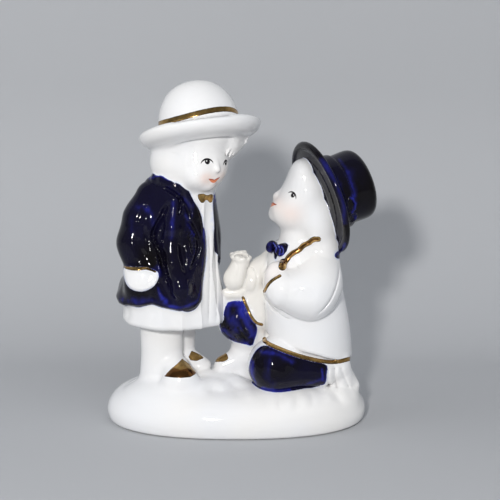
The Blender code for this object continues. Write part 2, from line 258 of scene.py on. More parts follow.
class Clay:
    """Solids that are fused one after another, each with its own soft joint, and lines worked into the skin."""

    def __init__(self):
        self.ops = []

    def add(self, group, f, k=1.2):
        self.ops.append(("add", group, f, k, [(lo - k - 2.5, hi + k + 2.5) for lo, hi in f.box]))

    def cut(self, f, k, box):
        self.ops.append(("cut", None, f, k, box))

    def move(self, f, box):
        self.ops.append(("move", None, f, 0, box))

    def trace(self, pts, width, height, front, box_y, fade=0.12):
        """Raises the skin, or sinks it where height < 0, along a line drawn in the picture. It works where y is under front."""
        p = spline(pts, 4) if len(pts) > 2 else np.array(pts, float)
        zs = [EYE[2] + (250 - v) / FOCUS * 480 - 480 * 0.2309 + q * 0.2309 for v in (p[:, 1].min(), p[:, 1].max()) for q in box_y]
        xs = [EYE[0] + (u - 250) / FOCUS * (487 + q) for u in (p[:, 0].min(), p[:, 0].max()) for q in box_y]
        m = width * 2.6 + 2.0
        box = [(min(xs) - m, max(xs) + m), box_y, (min(zs) - m - 3, max(zs) + m + 3)]

        def f(x, y, z):
            u, v, mm = seen(x, y, z)
            d, t = line_2d(u, v, p)
            g = np.exp(-((d * mm / width) ** 2))
            ends = step(t, -0.02, fade) * step(1 - t, -0.02, fade)
            return (-height * g * ((0.25 if fade < 0.2 else 0.0) + (0.75 if fade < 0.2 else 1.0) * ends) * step(front - y, -0.6, 0.6)).astype(F32)

        self.move(f, box)

    def groove(self, pts, width, height):
        """The same along a line in space."""
        p = spline(pts, 4) if len(pts) > 2 else np.array(pts, float)
        m = width * 2.6

        def f(x, y, z):
            return -height * np.exp(-((line_3d(x, y, z, p) / width) ** 2))

        self.move(f, [(p[:, i].min() - m, p[:, i].max() + m) for i in range(3)])

    def grid(self, lo, hi, h):
        ax = [np.arange(lo[i], hi[i] + h, h, dtype=F32) for i in range(3)]
        D = np.full([len(a) for a in ax], 9.0, F32)
        for kind, group, f, k, box in self.ops:
            s = []
            for a, (p, q) in zip(ax, box):
                i, j = np.searchsorted(a, [p, q])
                s.append(slice(int(i), int(j)))
            if any(t.stop <= t.start for t in s):
                continue
            d = f(ax[0][s[0]][:, None, None], ax[1][s[1]][None, :, None], ax[2][s[2]][None, None, :])
            cur = D[tuple(s)]
            D[tuple(s)] = smin(cur, d, k) if kind == "add" else smax(cur, -d, k) if kind == "cut" else cur + d
        return ax, D

    def at(self, P):
        D = np.full(len(P), 9.0)
        for kind, group, f, k, box in self.ops:
            m = np.ones(len(P), bool)
            for i, (p, q) in enumerate(box):
                m &= (P[:, i] >= p) & (P[:, i] < q)
            if not m.any():
                continue
            Q = P[m]
            d = np.asarray(f(Q[:, 0], Q[:, 1], Q[:, 2]), float)
            D[m] = smin(D[m], d, k) if kind == "add" else smax(D[m], -d, k) if kind == "cut" else D[m] + d
        return D

    def groups(self, P):
        """How far each group of solids is from the points, before they are fused."""
        out = {}
        for kind, group, f, k, box in self.ops:
            if kind != "add":
                continue
            g = out.setdefault(group, np.full(len(P), 9.0))
            m = np.ones(len(P), bool)
            for i, (p, q) in enumerate(box):
                m &= (P[:, i] >= p) & (P[:, i] < q)
            if m.any():
                Q = P[m]
                g[m] = np.minimum(g[m], f(Q[:, 0], Q[:, 1], Q[:, 2]))
        return out

    def slope(self, P, e=0.08):
        g = np.zeros_like(P)
        for s in ((1, -1, -1), (-1, -1, 1), (-1, 1, -1), (1, 1, 1)):
            s = np.array(s, float)
            g += s * self.at(P + s * e)[:, None]
        return g / (4 * e)


# ------------------------------------------------------------------ sizes and places
MOUND = (45.6, 26.0, 2.3)
MOUND_CURVE = [
    (0.955, 0.0), (0.985, 0.8), (1.0, 3.2), (0.992, 5.6), (0.955, 8.2),
    (0.89, 10.4), (0.79, 12.1), (0.64, 13.4), (0.4, 14.2), (0.0, 14.5),
]
GIRL_HAT, GIRL_HAT_AXIS = (-12.2, -1.0, 103.2), (-0.147, 0.286, 0.946)
BOY_HAT, BOY_HAT_AXIS = (29.3, 0.0, 79.0), (0.899, 0.340, 0.274)
GIRL_FACE, GIRL_LOOK = (-13.4, -3.0, 91.4), turn(math.radians(39))
DRESS_FACES = math.radians(-32)
BAND = (2.25, 0.68, 0.57, -0.44, -0.84)  # height of the gilt band round the crown, as waves
LAPEL = [(318.4, 239.2), (313.4, 239.4), (309.0, 242.8), (303.6, 245.4), (299.0, 250.0), (293.2, 253.0), (288.8, 256.8), (286.4, 260.6), (283.4, 262.6), (282.4, 266.6)]
HEM_NEAR = [(104, 296), (110, 297), (116, 299.5), (119, 303.2), (124, 305.6), (133, 305), (152, 304), (161.7, 307.3), (170, 309), (180, 309.8), (190, 307.6), (199, 302.5), (206, 300)]


def mound():
    pts = [(0, 0)] + [tuple(p) for p in spline(MOUND_CURVE, 3)]
    pts[-1] = (0.0, pts[-1][1])
    a, b, n = MOUND

    def f(x, y, z):
        r = np.sqrt(x * x + y * y) + 1e-6
        q = ((np.abs(x) / a) ** n + (np.abs(y) / b) ** n) ** (1 / n) + 1e-6
        return outline(r, z, pts, r / q)

    f.box = [(-a, a), (-b, b), (0, 15)]
    return f


def axis_profile(keys, foot):
    p = [(0, foot)] + [tuple(q) for q in spline(keys, 3)]
    p[-1] = (0.0, p[-1][1])
    return p


def model():
    c = Clay()
    A = c.add
    # the mound, with swells under the feet and the knee
    A("mound", mound(), 0)
    A("mound", ball((-21, -5, 10.2), (16.5, 13.5, 6.2)), 4.0)
    A("mound", ball((19, -8, 7.5), (20, 13.5, 6.8)), 4.0)
    A("mound", ball((-6, -6, 12.2), (9, 7, 3.8)), 3.0)
    A("mound", ball((36, -4.5, 9.0), (7, 9, 6.0)), 3.0)
    A("mound", ball((-9, 5.0, 10.6), (11, 9, 6.2)), 3.0)
    for u, v, y, r in ((205, 371, -3, 2.6), (214, 374, -4, 3.0), (223, 371, -2, 2.4), (232, 377, -6, 3.2), (208, 382, -9, 3.4), (220, 385, -10, 2.6), (243, 383, -8, 3.0), (198, 388, -12, 3.6)):
        q = put(u, v, y)
        A("mound", ball((q[0], y, q[2] - r * 0.75), (r * 1.25, r * 1.15, r)), 2.2)

    # ---------------------------------------------------------- standing child
    A("legs", loft([(12, -25.6, -1.0, 8.8, 8.0), (18, -25.9, -1.0, 7.9, 7.2), (26, -25.9, -1.0, 7.5, 6.8), (38, -25.8, -0.5, 8.2, 7.4)], k=1.0), 2.2)
    A("legs", loft([(12, -20.2, 6.0, 6.3, 5.6), (20, -20.4, 6.0, 5.7, 5.2), (38, -20.4, 5.0, 6.2, 5.6)], k=1.0), 0.8)
    A("legs", limb([(-21.5, -5.0, 19.0), (-19.0, -10.6, 17.4)], [5.4, 4.9], 2), 1.8)
    A("legs", ball((-19.0, -11.2, 16.0), (6.4, 4.6, 3.7), turn(math.radians(8))), 2.8)
    A("legs", limb([(-18.5, 4.0, 21.5), (-13.6, 0.6, 19.4)], [3.6, 3.0], 2), 1.2)
    A("legs", ball((-12.6, 0.2, 18.6), (3.9, 3.6, 2.6), turn(math.radians(40))), 1.2)

    def pleats(x, y, z, t):
        w = t - DRESS_FACES
        w = np.arctan2(np.sin(w), np.cos(w))
        m = step(np.cos(w), 0.15, 0.75)
        low = 1.0 - step(z, 72.0, 85.0)
        p = 15.0 * w + 0.35 * np.sin(z * 0.13 + 0.6)
        fold = 1.0 - 2.0 * np.abs(np.sin(p * 0.5)) ** 0.8
        return ((0.42 * m * low) * fold + 0.16 * low * np.sin(9 * t + 0.4)).astype(F32)

    A(
        "dress",
        loft(
            [
                (35.6, -21.2, -0.5, 18.6, 16.4), (38, -21.2, -0.5, 18.5, 16.4), (42, -21.1, -0.5, 17.7, 15.9), (48, -20.8, -0.5, 16.1, 15.1),
                (56, -19.9, -0.5, 13.7, 13.6), (66, -18.0, -0.5, 12.2, 12.0), (76, -16.8, -1.0, 10.0, 10.6), (82, -15.6, -1.5, 8.4, 9.2), (87, -15.2, -1.8, 7.2, 8.0),
            ],
            relief=pleats,
            k=2.0,
        ),
        1.2,
    )
    # coat: a shell over the dress, open towards the other child
    hem_u, hem_v = np.array(HEM_NEAR)[:, 0], np.array(HEM_NEAR)[:, 1]

    def coat_hem(x, y, z):
        u, v, mm = seen(x, y, z)
        near = (v - np.interp(u, hem_u, hem_v)) * mm * 0.97
        w = step(y, -5.0, 4.0)
        return ((1 - w) * near + w * (43.6 - z)).astype(F32)

    body = loft(
        [
            (39.0, -21.8, 0.3, 21.0, 18.2), (44.0, -21.8, 0.3, 20.2, 17.8), (48, -21.6, 0.3, 18.6, 17.0), (56, -21.3, 0.2, 16.1, 15.7),
            (66, -20.2, 0.2, 15.1, 14.5), (76, -19.4, 0.0, 13.0, 12.9), (82, -18.8, -0.4, 11.6, 11.4), (87.4, -18.4, -0.6, 9.4, 9.4),
        ],
        low=coat_hem,
        k=1.6,
    )
    front_edge = spline([(171, 172), (174.5, 180), (182, 188.5), (190, 196), (196.5, 206), (201, 216), (204.6, 230), (206.2, 246), (205.4, 262), (203.2, 278), (201.4, 294), (198.6, 305), (192, 312)], 4)
    fe_v, fe_u = front_edge[:, 1], front_edge[:, 0]

    def coat(x, y, z):
        d = body(x, y, z)
        u, v, mm = seen(x, y, z)
        edge = np.interp(v, fe_v, fe_u)
        past = (u - edge) * mm * 0.75
        far = np.interp(np.asarray(z, float), [42, 52, 55.5, 58, 61, 66, 74, 84, 90], [10.0, 8.0, 2.0, -1.6, -4.4, -6.9, -6.8, -6.0, -4.5]).astype(F32) - y
        return smax(d, np.minimum(past, far), 1.2).astype(F32)

    coat.box = body.box
    A("coat", coat, 0.35)
    A("coat", limb([(-28.4, -2.2, 79.4), (-31.2, -3.4, 72.0), (-33.0, -4.4, 64.0), (-31.8, -7.4, 57.0)], [6.0, 7.0, 7.3, 6.4], 3), 1.4)
    A("coat", ball((-31.4, -8.4, 50.5), (7.0, 7.2, 8.4)), 2.2)
    A("coat", limb([(-16.4, -12.2, 62.0), (-18.8, -12.8, 54.0), (-17.0, -13.6, 47.0)], [2.6, 4.6, 4.6], 3), 2.5)
    A("coat", limb([(-15.0, 8.6, 78.0), (-13.4, 10.4, 68.0), (-13.6, 9.6, 58.0)], [5.2, 5.8, 5.0], 3), 1.8)
    A("coat", ball((-33.0, 6.0, 46.5), (8.0, 8.0, 5.5)), 3.0)
    # the full fold down its middle, and the collar that stands up to the hair
    A("coat", limb([put(174.0, 200, -10.4), put(173.4, 216, -11.0), put(172.4, 228, -12.7), put(171.2, 250, -13.8), put(172.4, 263, -15.7), put(175.8, 274, -16.1), put(180.6, 288, -17.2), put(184, 299, -16.6)], [2.6, 2.9, 3.0, 3.1, 3.1, 3.1, 3.1, 2.6], 1.5), 1.4)
    A("coat", limb([put(150.6, 182.0, -0.5), put(157.2, 179.2, -4.4), put(164.4, 180.4, -7.6), put(170.8, 185.0, -9.4)], [1.7, 1.9, 1.8, 1.4], 0.8), 0.7)

    # hair and head
    A("hair", ball((-16.6, 0.6, 91.6), (12.8, 12.8, 11.4)), 1.2)
    A("hair", ball((-17.4, -0.6, 85.2), (10.4, 10.0, 6.2)), 2.5)
    A("hair", ball((-12.8, -2.6, 101.4), (12.4, 10.9, 8.4)), 4.0)
    fc, T = np.array(GIRL_FACE), GIRL_LOOK

    def on_face(side, front, up):
        return tuple(fc + side * T[0] + front * T[1] + up * T[2])

    A("face", ball(GIRL_FACE, (10.4, 11.7, 9.8), T), 3.0)
    A("face", ball(on_face(-3.0, 5.0, -4.1), (5.4, 5.3, 3.8), T), 2.4)
    A("face", ball(on_face(-4.8, 7.4, -2.8), (3.5, 3.1, 3.1), T), 2.8)
    A("face", ball(on_face(1.4, 7.5, -2.2), (2.5, 2.6, 2.6), T), 2.4)
    A("face", limb([on_face(-0.2, 10.8, 1.6), on_face(-0.2, 12.1, -0.6)], [0.65, 0.9], 0.5), 1.4)
    A("face", ball(on_face(-0.6, 10.4, -3.7), (1.7, 0.9, 0.5), T), 0.7)
    A("face", ball(on_face(-0.6, 10.0, -4.8), (1.2, 0.9, 0.5), T), 0.7)
    A("face", ball(on_face(-1.8, 8.5, -6.2), (2.1, 1.7, 1.5), T), 1.8)
    # a lock of curls under the brim, by the far temple
    A("hair", ball(put(230.6, 146.0, 0.8), (3.0, 5.2, 4.0)), 2.4)
    A("hair", ball(put(236.4, 141.0, 1.2), (2.9, 4.6, 2.7)), 2.4)
    A("hair", ball(put(231.6, 140.5, -3.0), (2.8, 4.4, 4.2)), 2.6)
    for a, b, d in (
        ((245.5, 137.5), (245.0, 141.5), (241.8, 145.5)),
        ((242.6, 137.5), (241.6, 144.0), (238.4, 149.4)),
        ((239.6, 137.5), (238.6, 146.0), (235.6, 152.4)),
        ((236.6, 138.0), (235.6, 147.5), (232.6, 155.0)),
        ((233.6, 138.5), (232.8, 148.0), (229.4, 156.6)),
        ((230.4, 139.5), (229.6, 147.5), (226.4, 155.0)),
    ):
        ys = [-0.2 - (245 - q[0]) * 0.42 for q in (a, b, d)]
        A("hair", limb([put(*a, ys[0] + 0.5), put(*b, ys[1]), put(*d, ys[2])], [0.75, 0.7, 0.3], 0.2), 0.25)

    brim = [tuple(p) for p in spline([(12.2, -0.3), (14.3, -0.4), (15.8, 0.0), (17.8, 0.55), (19.5, 0.5), (20.75, -0.5), (20.6, -2.0), (19.6, -3.4), (17.8, -4.5), (15.2, -5.2), (12.6, -5.6), (11.6, -2.0)], 3, closed=True)]
    A("hat", turned(GIRL_HAT, GIRL_HAT_AXIS, brim), 1.6)
    crown = axis_profile([(13.0, -4), (13.9, -0.8), (13.85, 2.0), (13.3, 5.4), (12.1, 8.8), (10.0, 12.0), (7.1, 14.4), (3.7, 15.7), (0, 16.1)], -4)
    A("hat", turned(GIRL_HAT, GIRL_HAT_AXIS, crown), 0.2)

    # ---------------------------------------------------------- kneeling child
    def hem(x, y, z):
        return (31.9 - 0.315 * (x - 9.7)) - z

    A(
        "bcoat",
        loft(
            [
                (16, 25.5, 0.5, 15.6, 15.8), (24, 25.4, 0.4, 15.4, 15.4), (34, 24.6, 0.2, 15.2, 14.6), (44, 23.6, 0.0, 14.2, 13.2),
                (52, 23.0, 0.0, 13.0, 12.2), (58, 22.8, 0.2, 12.2, 11.2), (63.5, 23.0, 0.4, 9.4, 9.4),
            ],
            low=hem,
            k=1.4,
        ),
        1.2,
    )
    A("bflap", limb([(16, 3.0, 36.0), (8.4, 1.6, 38.0)], [7.6, 7.4]), 1.6)
    A("bflap", limb([(9.0, 0.0, 46.0), (7.0, -0.6, 38.5)], [4.6, 5.2]), 2.0)
    A("bflap", limb([put(238, 297, 1.5), put(252, 292, 1.5)], [3.4, 4.6]), 1.6)
    # near leg on its knee; its foot stands on the toes behind
    A("trouser", limb([(22, -2.0, 27.0), (14.0, -9.0, 21.6), (27.6, -9.2, 20.0)], [7.6, 8.9, 6.0], 4), 0.9)
    A("sock", limb([(29.6, -8.6, 19.2), (34.6, -6.4, 19.4)], [5.5, 4.9], 2), 0.7)
    A("sock", limb([(35.0, -5.6, 22.6), (36.8, -5.4, 14.0)], [4.6, 4.6], 2), 0.8)
    A("sock", limb([(37.0, -4.4, 19.5), (40.0, -4.2, 12.4)], [2.6, 3.4], 2), 0.9)
    # far knee raised over its foot
    A("knee", limb([(5.0, 2.0, 37.4), (1.1, 0.2, 35.6), (4.0, 0.6, 29.4)], [6.6, 7.3, 5.6], 3), 0.9)
    A("sock", limb([(3.6, 1.6, 29.6), (3.2, 2.0, 22.0), (3.4, 1.6, 13.0)], [5.2, 5.0, 7.0], 2), 1.0)
    A("sock", limb([(0.5, 0.4, 20.4), (-4.2, -0.6, 18.8)], [4.2, 3.5], 2), 1.6)

    # arms, the hand on the chest, the flowers
    A("bcoat", limb([(29.0, -4.2, 56.6), (27.6, -7.8, 50.8), (25.2, -10.2, 47.3), (16.2, -12.2, 49.2)], [6.9, 8.2, 8.5, 6.8], 4), 0.45)
    A("bhand", ball((12.9, -11.2, 53.8), (3.3, 3.8, 4.5)), 0.9)
    A("bhand", ball((14.6, -10.6, 56.2), (2.6, 3.0, 2.4)), 1.6)
    A("bfar", limb([(14.6, 4.0, 56.2), (8.4, 1.6, 52.0), (5.6, -0.6, 49.4)], [5.2, 4.4, 4.5], 3), 1.0)
    A("bfar", limb([put(250.6, 273, 1.4), put(250.2, 285, 1.2)], [2.1, 2.2]), 2.6)
    A("flowers", ball(put(234.0, 278.5, -2.6), (3.75, 3.7, 4.3)), 0.6)
    A("flowers", ball(put(237.5, 272.0, -2.6), (3.1, 3.2, 4.2)), 1.2)
    A("flowers", limb([put(238.5, 270, -2.4), put(240.4, 262.5, -2.2)], [3.0, 3.1]), 1.2)
    c0 = put(240.6, 257.4, -2.0)
    A("flowers", ball(c0, (3.7, 3.5, 1.5), basis((0.18, -0.12, 1))), 0.7)
    for i in range(9):
        a = 2 * math.pi * (i + 0.2) / 9
        A("flowers", ball((c0[0] + 2.9 * math.cos(a), c0[1] + 2.7 * math.sin(a), c0[2] + 0.35 - 0.5 * math.cos(a) + 0.25 * math.sin(2.3 * i)), (1.05, 1.05, 0.85)), 0.35)
    A("flowers", limb([(c0[0] - 1.6, c0[1] - 0.6, c0[2] + 1.3), (c0[0] + 0.2, c0[1] - 1.0, c0[2] + 1.8), (c0[0] + 1.9, c0[1] - 0.4, c0[2] + 1.0)], [0.75, 0.85, 0.7], 0.3), 0.4)
    A("flowers", limb([(c0[0] - 1.2, c0[1] + 1.4, c0[2] + 1.2), (c0[0] + 1.4, c0[1] + 1.2, c0[2] + 1.5)], [0.8, 0.8], 0.3), 0.4)
    for u, v, r in ((225.5, 291.5, 1.0), (227.6, 294.2, 1.0), (230.8, 292.8, 1.1), (234.6, 293.6, 1.3), (239.0, 293.2, 1.4)):
        A("flowers", ball(put(u, v, -3.2), (r * 1.1, r, r)), 1.0)

    # where the flowers' wrap meets the knee, and the coat's corner meets the thigh
    A("bflap", limb([put(229.4, 297.0, -0.6), put(241, 295.5, -0.2)], [2.4, 3.2]), 2.6)
    A("bcoat", ball(put(263.4, 333.4, 0.6), (2.5, 3.4, 3.4)), 1.8)

    # head: cranium in the hat, a full cheek and a small turned-up nose
    A("bface", ball((20.6, -0.4, 74.6), (8.3, 9.0, 8.0)), 1.2)
    A("bface", ball((24.6, 0, 81.0), (8.4, 9.8, 9.4)), 3.5)
    A("bface", ball(put(282.5, 210.5, -2.6), (3.4, 3.6, 3.4)), 2.4)
    A("bface", ball(put(274.6, 214.0, -0.5), (2.05, 2.7, 2.2)), 1.6)
    A("bface", limb([put(285.0, 191.8, -0.5), put(277.8, 196.4, -0.5)], [1.1, 1.6], 0.5), 1.2)
    A("bface", ball(put(275.6, 202.4, -0.5), (0.9, 1.7, 0.62), basis((-0.5, 0, 1))), 0.45)
    A("bface", ball(put(274.4, 206.6, -0.5), (0.9, 1.4, 0.65), basis((-0.35, 0, 1))), 0.45)
    A("bhair", ball(put(303.5, 172.0, -0.5), (4.4, 7.0, 4.6)), 2.6)
    A("bhair", ball((28.6, 0.2, 71.6), (8.6, 11.0, 12.0)), 2.5)
    A("bhair", ball((30.6, 0.2, 63.2), (6.4, 9.2, 6.4)), 2.5)
    A("bface", limb([(22.3, -0.6, 70), (21.6, -1.2, 60)], [6.2, 7.4]), 1.6)

    bc = axis_profile([(13.9, -1.4), (14.2, 0.4), (13.3, 2.4), (12.6, 5.2), (12.3, 8.4), (12.4, 11.6), (12.3, 13.8), (11.6, 15.3), (9.9, 16.3), (6.0, 16.7), (0, 16.8)], -1.4)
    A("bhat", turned(BOY_HAT, BOY_HAT_AXIS, bc), 0.8)
    bb = [tuple(p) for p in spline([(10.0, 0.8), (14.4, 0.6), (17.2, 0.7), (19.0, 0.9), (20.0, 0.5), (20.2, -0.4), (19.5, -1.3), (18.2, -1.4), (17.2, -0.9), (14.6, -1.2), (10.0, -1.6)], 3, closed=True)]
    A("bhat", turned(BOY_HAT, BOY_HAT_AXIS, bb), 0.5)
    # hat ribbon, a low step round the crown
    A("bhat", turned(BOY_HAT, BOY_HAT_AXIS, [(11.5, 3.0), (13.7, 3.0), (13.6, 3.6), (13.2, 6.2), (13.0, 6.8), (11.5, 6.8)]), 0.4)
    # its buckle, two loops on the near side
    Rb = basis(BOY_HAT_AXIS)
    ang = math.atan2(*[float(np.dot(Rb[k], unit((-0.25, -1.0, -0.42)))) for k in (1, 0)])
    for da, w in ((-0.12, 0.20), (0.26, 0.17)):
        loop = []
        for k in range(9):
            t = 2 * math.pi * k / 8
            a, h, r = ang + da + w * math.cos(t), 4.9 + 1.6 * math.sin(t), 13.35
            loop.append(tuple(np.array(BOY_HAT) + r * math.cos(a) * Rb[0] + r * math.sin(a) * Rb[1] + h * Rb[2]))
        A("bhat", limb(loop, [0.52] * 9, 0.2), 0.3)

    # bow ties
    for p, r, t in ((put(271.4, 246.6, -3.6), (2.5, 1.6, 2.1), 0.9), (put(282.2, 249.8, -7.0), (2.6, 1.7, 2.3), 0.35), (put(276.4, 248.0, -5.6), (1.3, 1.5, 1.5), 0.7)):
        A("bow", ball(p, r, turn(t, 0.0, 0.25)), 0.5)
    A("bow", limb([put(276.0, 250.6, -5.6), put(276.8, 258.6, -6.4)], [1.0, 0.7]), 0.4)

    # ---------------------------------------------------------- lines worked into the skin
    T_ = c.trace
    for pts in ([(271.6, 243.6), (273.6, 248), (273.0, 251.6)], [(279.0, 246.0), (281.2, 250.4), (280.2, 254.6)], [(282.6, 246.6), (284.8, 250.8), (283.2, 255.0)]):
        T_(pts, 0.42, -0.4, 0, (-22, 4), 0.3)
    g = (-22, 0)
    # girl's coat: the crease between sleeve and body, and the wrinkles beside it
    for pts, w, h in (
        ([(168, 205), (161, 217), (154.5, 229), (153.6, 239), (157.5, 249), (161.0, 260), (163.5, 274)], 0.95, -1.6),
        ([(165, 224), (161.5, 233), (159.5, 242)], 0.6, -0.5),
        ([(163.5, 250), (164.6, 262), (167.5, 276), (172, 290)], 0.8, -0.9),
        ([(181, 197), (180.4, 206), (178.8, 216)], 0.75, -0.9),
        ([(180, 244), (183, 258), (185.6, 272)], 0.9, -0.45),
        ([(186, 219), (193.4, 229), (198.4, 243), (195.6, 258), (190.6, 270)], 0.75, -0.85),
        ([(188, 236), (191, 245), (192.4, 254)], 0.55, -0.5),
        ([(190, 212), (195.4, 226), (200, 240)], 1.1, 0.45),
        ([(162, 212), (155, 223), (150, 233)], 0.9, 0.6),
        ([(157, 254), (159, 268), (160, 280)], 0.8, 0.5),
        ([(154, 283), (157.5, 291), (163, 301)], 1.2, 0.75),
        ([(148, 206), (142, 214), (139, 224)], 1.3, -0.5),
        ([(146, 232), (149, 244), (153, 254)], 1.0, -0.5),
        ([(136, 238), (140, 250), (146, 258)], 1.3, -0.45),
        ([(128, 226), (131, 244), (137, 262)], 1.6, 0.4),
    ):
        T_(pts, w, h, -1, g)
    # fine crumples beside two of the creases

    def crumple(x, y, z):
        u, v, mm = seen(x, y, z)
        near = 0
        for line, w in (([(165, 214), (154, 238), (160, 262)], 1.5), ([(191, 232), (197, 244), (192, 262)], 2.0), ([(166, 262), (168, 280)], 1.2), ([(180, 199), (182, 212)], 1.2)):
            near = near + np.exp(-((line_2d(u, v, line)[0] * mm / w) ** 2))
        rough = np.sin(3.1 * x + 2.2 * z) * np.sin(4.3 * z - 1.9 * x + 0.7) + 0.6 * np.sin(5.6 * x + 1.0) * np.sin(5.1 * z + 1.7 * x)
        return (-0.10 * clampv(near, 0, 1) * rough * step(-2 - y, -0.6, 0.6)).astype(F32)

    c.move(crumple, [(-32, -8), (-22, 0), (44, 80)])
    # collar and lapel of the coat
    T_([(176, 183), (187, 195), (195, 208), (199.5, 222)], 1.3, 0.45, -2, g)
    T_([(163, 187), (172, 192), (180, 198.5), (186.5, 208), (191, 220)], 0.75, -0.85, -2, g)
    T_([(171, 183), (176.5, 190), (181, 195)], 0.9, 0.5, -2, g)
    # pocket
    T_([(124, 267), (135, 268.6), (146, 269), (155, 271.5)], 0.75, 0.55, -4, g)

    T_([(165.8, 124.6), (184, 120.8), (207.8, 117.6), (224, 116.0), (237.3, 115.4)], 0.42, -0.6, -4, (-22, 8), 0.25)

    pocket = pocket_region()

    def patch(x, y, z):
        u, v, mm = seen(x, y, z)
        d = outline(u, v, pocket) * mm
        return (-0.75 * step(-d, -0.5, 0.7) * step(-4 - y, -0.6, 0.6)).astype(F32)

    c.move(patch, [(-42, -22), (-24, -3), (40, 60)])
    # dress: a few stronger pleat lines where it shows, and the hem's soft dents
    for pts, w, h in (
        ([(208.8, 232), (209.6, 262), (209.0, 292), (208.6, 324)], 0.5, -0.42),
        ([(213.5, 226), (215.2, 262), (216.4, 292), (216.2, 324)], 0.5, -0.42),
        ([(217.5, 224), (219.6, 262), (222.4, 292), (222.6, 322)], 0.45, -0.35),
        ([(127, 306), (129, 314), (127, 322)], 0.9, -0.35),
        ([(153, 311), (154, 319), (152, 327)], 1.2, -0.2),
    ):
        T_(pts, w, h, 0, g)
    # hair parting line beside the girl's face
    T_([(193, 146), (190, 152), (188.5, 160), (188.5, 170)], 0.9, -0.22, -4, g)
    T_([(176, 152), (172, 164), (172, 176)], 1.6, -0.18, -4, g)
    # groove between the legs, over the instep
    T_([(184, 330), (184.5, 345), (184, 358)], 0.7, -0.5, 0, g)
    # boy: sleeve seams, front edge, thigh creases
    b = (-24, 4)
    T_([(263.5, 292), (267, 300), (274, 308), (283, 313.5)], 0.6, -0.45, -4, b)
    T_([(263, 262), (261.5, 276), (262.5, 292)], 0.6, -0.3, 0, b)
    T_([(264.5, 300), (265.5, 318), (264.5, 338)], 0.7, -0.6, -2, b)
    T_([(288, 276), (294, 271), (300, 268)], 1.4, -0.3, -4, b)
    T_([(296, 292), (305, 295), (316, 292)], 1.8, -0.25, -4, b)
    T_([(300, 366), (311, 360), (322, 362)], 1.8, -0.45, -4, b)
    T_([(276, 356), (282, 366), (292, 374)], 1.6, -0.3, -4, b)
    T_([(262, 362), (266, 374), (274, 383)], 1.4, -0.25, -4, b)
    for pts, w, h in (
        ([(233, 306), (231, 318), (234, 330)], 1.0, -0.5),
        ([(240, 318), (244, 328), (250, 337)], 0.9, -0.6),
        ([(237, 326), (242, 334), (248, 342)], 0.7, -0.45),
        ([(227, 326), (231, 334), (236, 339)], 0.8, -0.35),
        ([(243, 308), (247, 318), (252, 326)], 0.8, -0.4),
    ):
        T_(pts, w, h, 2, b)
    # sock and foot folds
    T_([(328.5, 368), (328, 378), (329, 388)], 0.5, -0.4, 0, b)
    T_([(334.5, 366), (335, 378), (337, 390)], 0.7, -0.6, 0, b)
    T_([(341, 366), (344, 376), (349, 388)], 0.6, -0.4, 2, b)
    # bouquet: wrap creases; cuff beside it
    T_([(247, 266), (246.5, 276), (245, 288)], 0.6, -0.35, 2, b)
    T_([(236, 262), (238, 270), (237, 282)], 0.5, -0.18, 0, b)
    T_([(250.6, 266.4), (254.4, 269.6), (257.0, 276), (256.4, 284), (254.2, 290)], 0.42, -0.28, 3, b)
    T_([(233.2, 255.0), (238, 255.2), (242.6, 255.8), (246.4, 257.0), (251.0, 260.4)], 0.42, -0.45, 2, b, 0.3)
    # mound: soft furrows below the knee and the foot
    m_ = (-28, -6)
    for pts, w, h in (
        ([(284, 390), (280, 400), (279, 412)], 1.0, -0.36),
        ([(297, 389), (297, 401), (294, 414)], 1.2, -0.42),
        ([(309, 387), (312, 398), (311, 410)], 1.0, -0.36),
        ([(270, 391), (266, 400), (262, 410)], 1.6, -0.22),
        ([(290, 392), (289, 402), (286, 414)], 1.2, 0.2),
        ([(303, 390), (305, 400), (303, 412)], 1.2, 0.2),
        ([(322, 384), (328, 394), (334, 404)], 1.5, 0.36),
        ([(331, 384), (337, 396), (345, 406)], 1.1, -0.42),
        ([(343, 380), (350, 392), (356, 402)], 1.3, -0.3),
        ([(208, 377), (204, 386), (196, 394)], 1.6, 0.3),
        ([(222, 376), (224, 386), (218, 396)], 1.8, 0.3),
        ([(214, 378), (214, 388), (208, 396)], 1.3, -0.3),
        ([(236, 378), (236, 390), (230, 400)], 1.8, -0.25),
        ([(247, 384), (250, 394), (248, 404)], 1.8, 0.25),
        ([(158, 384), (172, 389), (190, 388)], 2.0, 0.22),
        ([(124, 388), (134, 382), (141, 374)], 2.4, -0.2),
    ):
        T_(pts, w, h, 0, (-28, 4), 0.45)
    # a sharp seam where the sleeve lies on the back, and round the elbow
    T_([(338.6, 262), (338.4, 276), (333.4, 294), (325, 307.5), (313.8, 317)], 0.38, -0.5, 2, (-24, 4), 0.3)
    T_([(264.6, 296.2), (272.3, 307.5), (285.5, 317.2), (298.7, 319.8)], 0.45, -0.35, -4, (-24, 4), 0.3)
    # the front edge of the coat, from the bow tie to the hem
    T_([(267.5, 257), (267.6, 265.5), (264.4, 272), (262.4, 280), (262.8, 290)], 0.4, -0.45, 0, (-24, 4), 0.2)

    # the gilt edges stand a little proud
    T_(LAPEL, 1.05, 0.6, -3, (-24, 4), 0.1)
    T_([LAPEL[-2], LAPEL[-1]], 1.3, 0.5, -3, (-24, 4), 0.1)
    T_([(264.4, 341), (275, 346.6), (297, 355), (320, 360.8), (336, 361.8), (349.5, 358.6)], 0.7, 0.2, 2, b)
    T_([(243, 298), (246.8, 306.6), (251, 316), (256.3, 322.4), (261.6, 324.2)], 0.6, 0.4, 2, b)
    T_([(264.6, 291), (269, 284), (274, 279.4), (280, 276)], 0.6, 0.35, -4, b)

    # a flat underside: everything below z = 0 is cut away
    c.cut(lambda x, y, z: z + 0 * x + 0 * y, 0.0, [(-60, 60), (-40, 40), (-6, 0.45)])
    return c


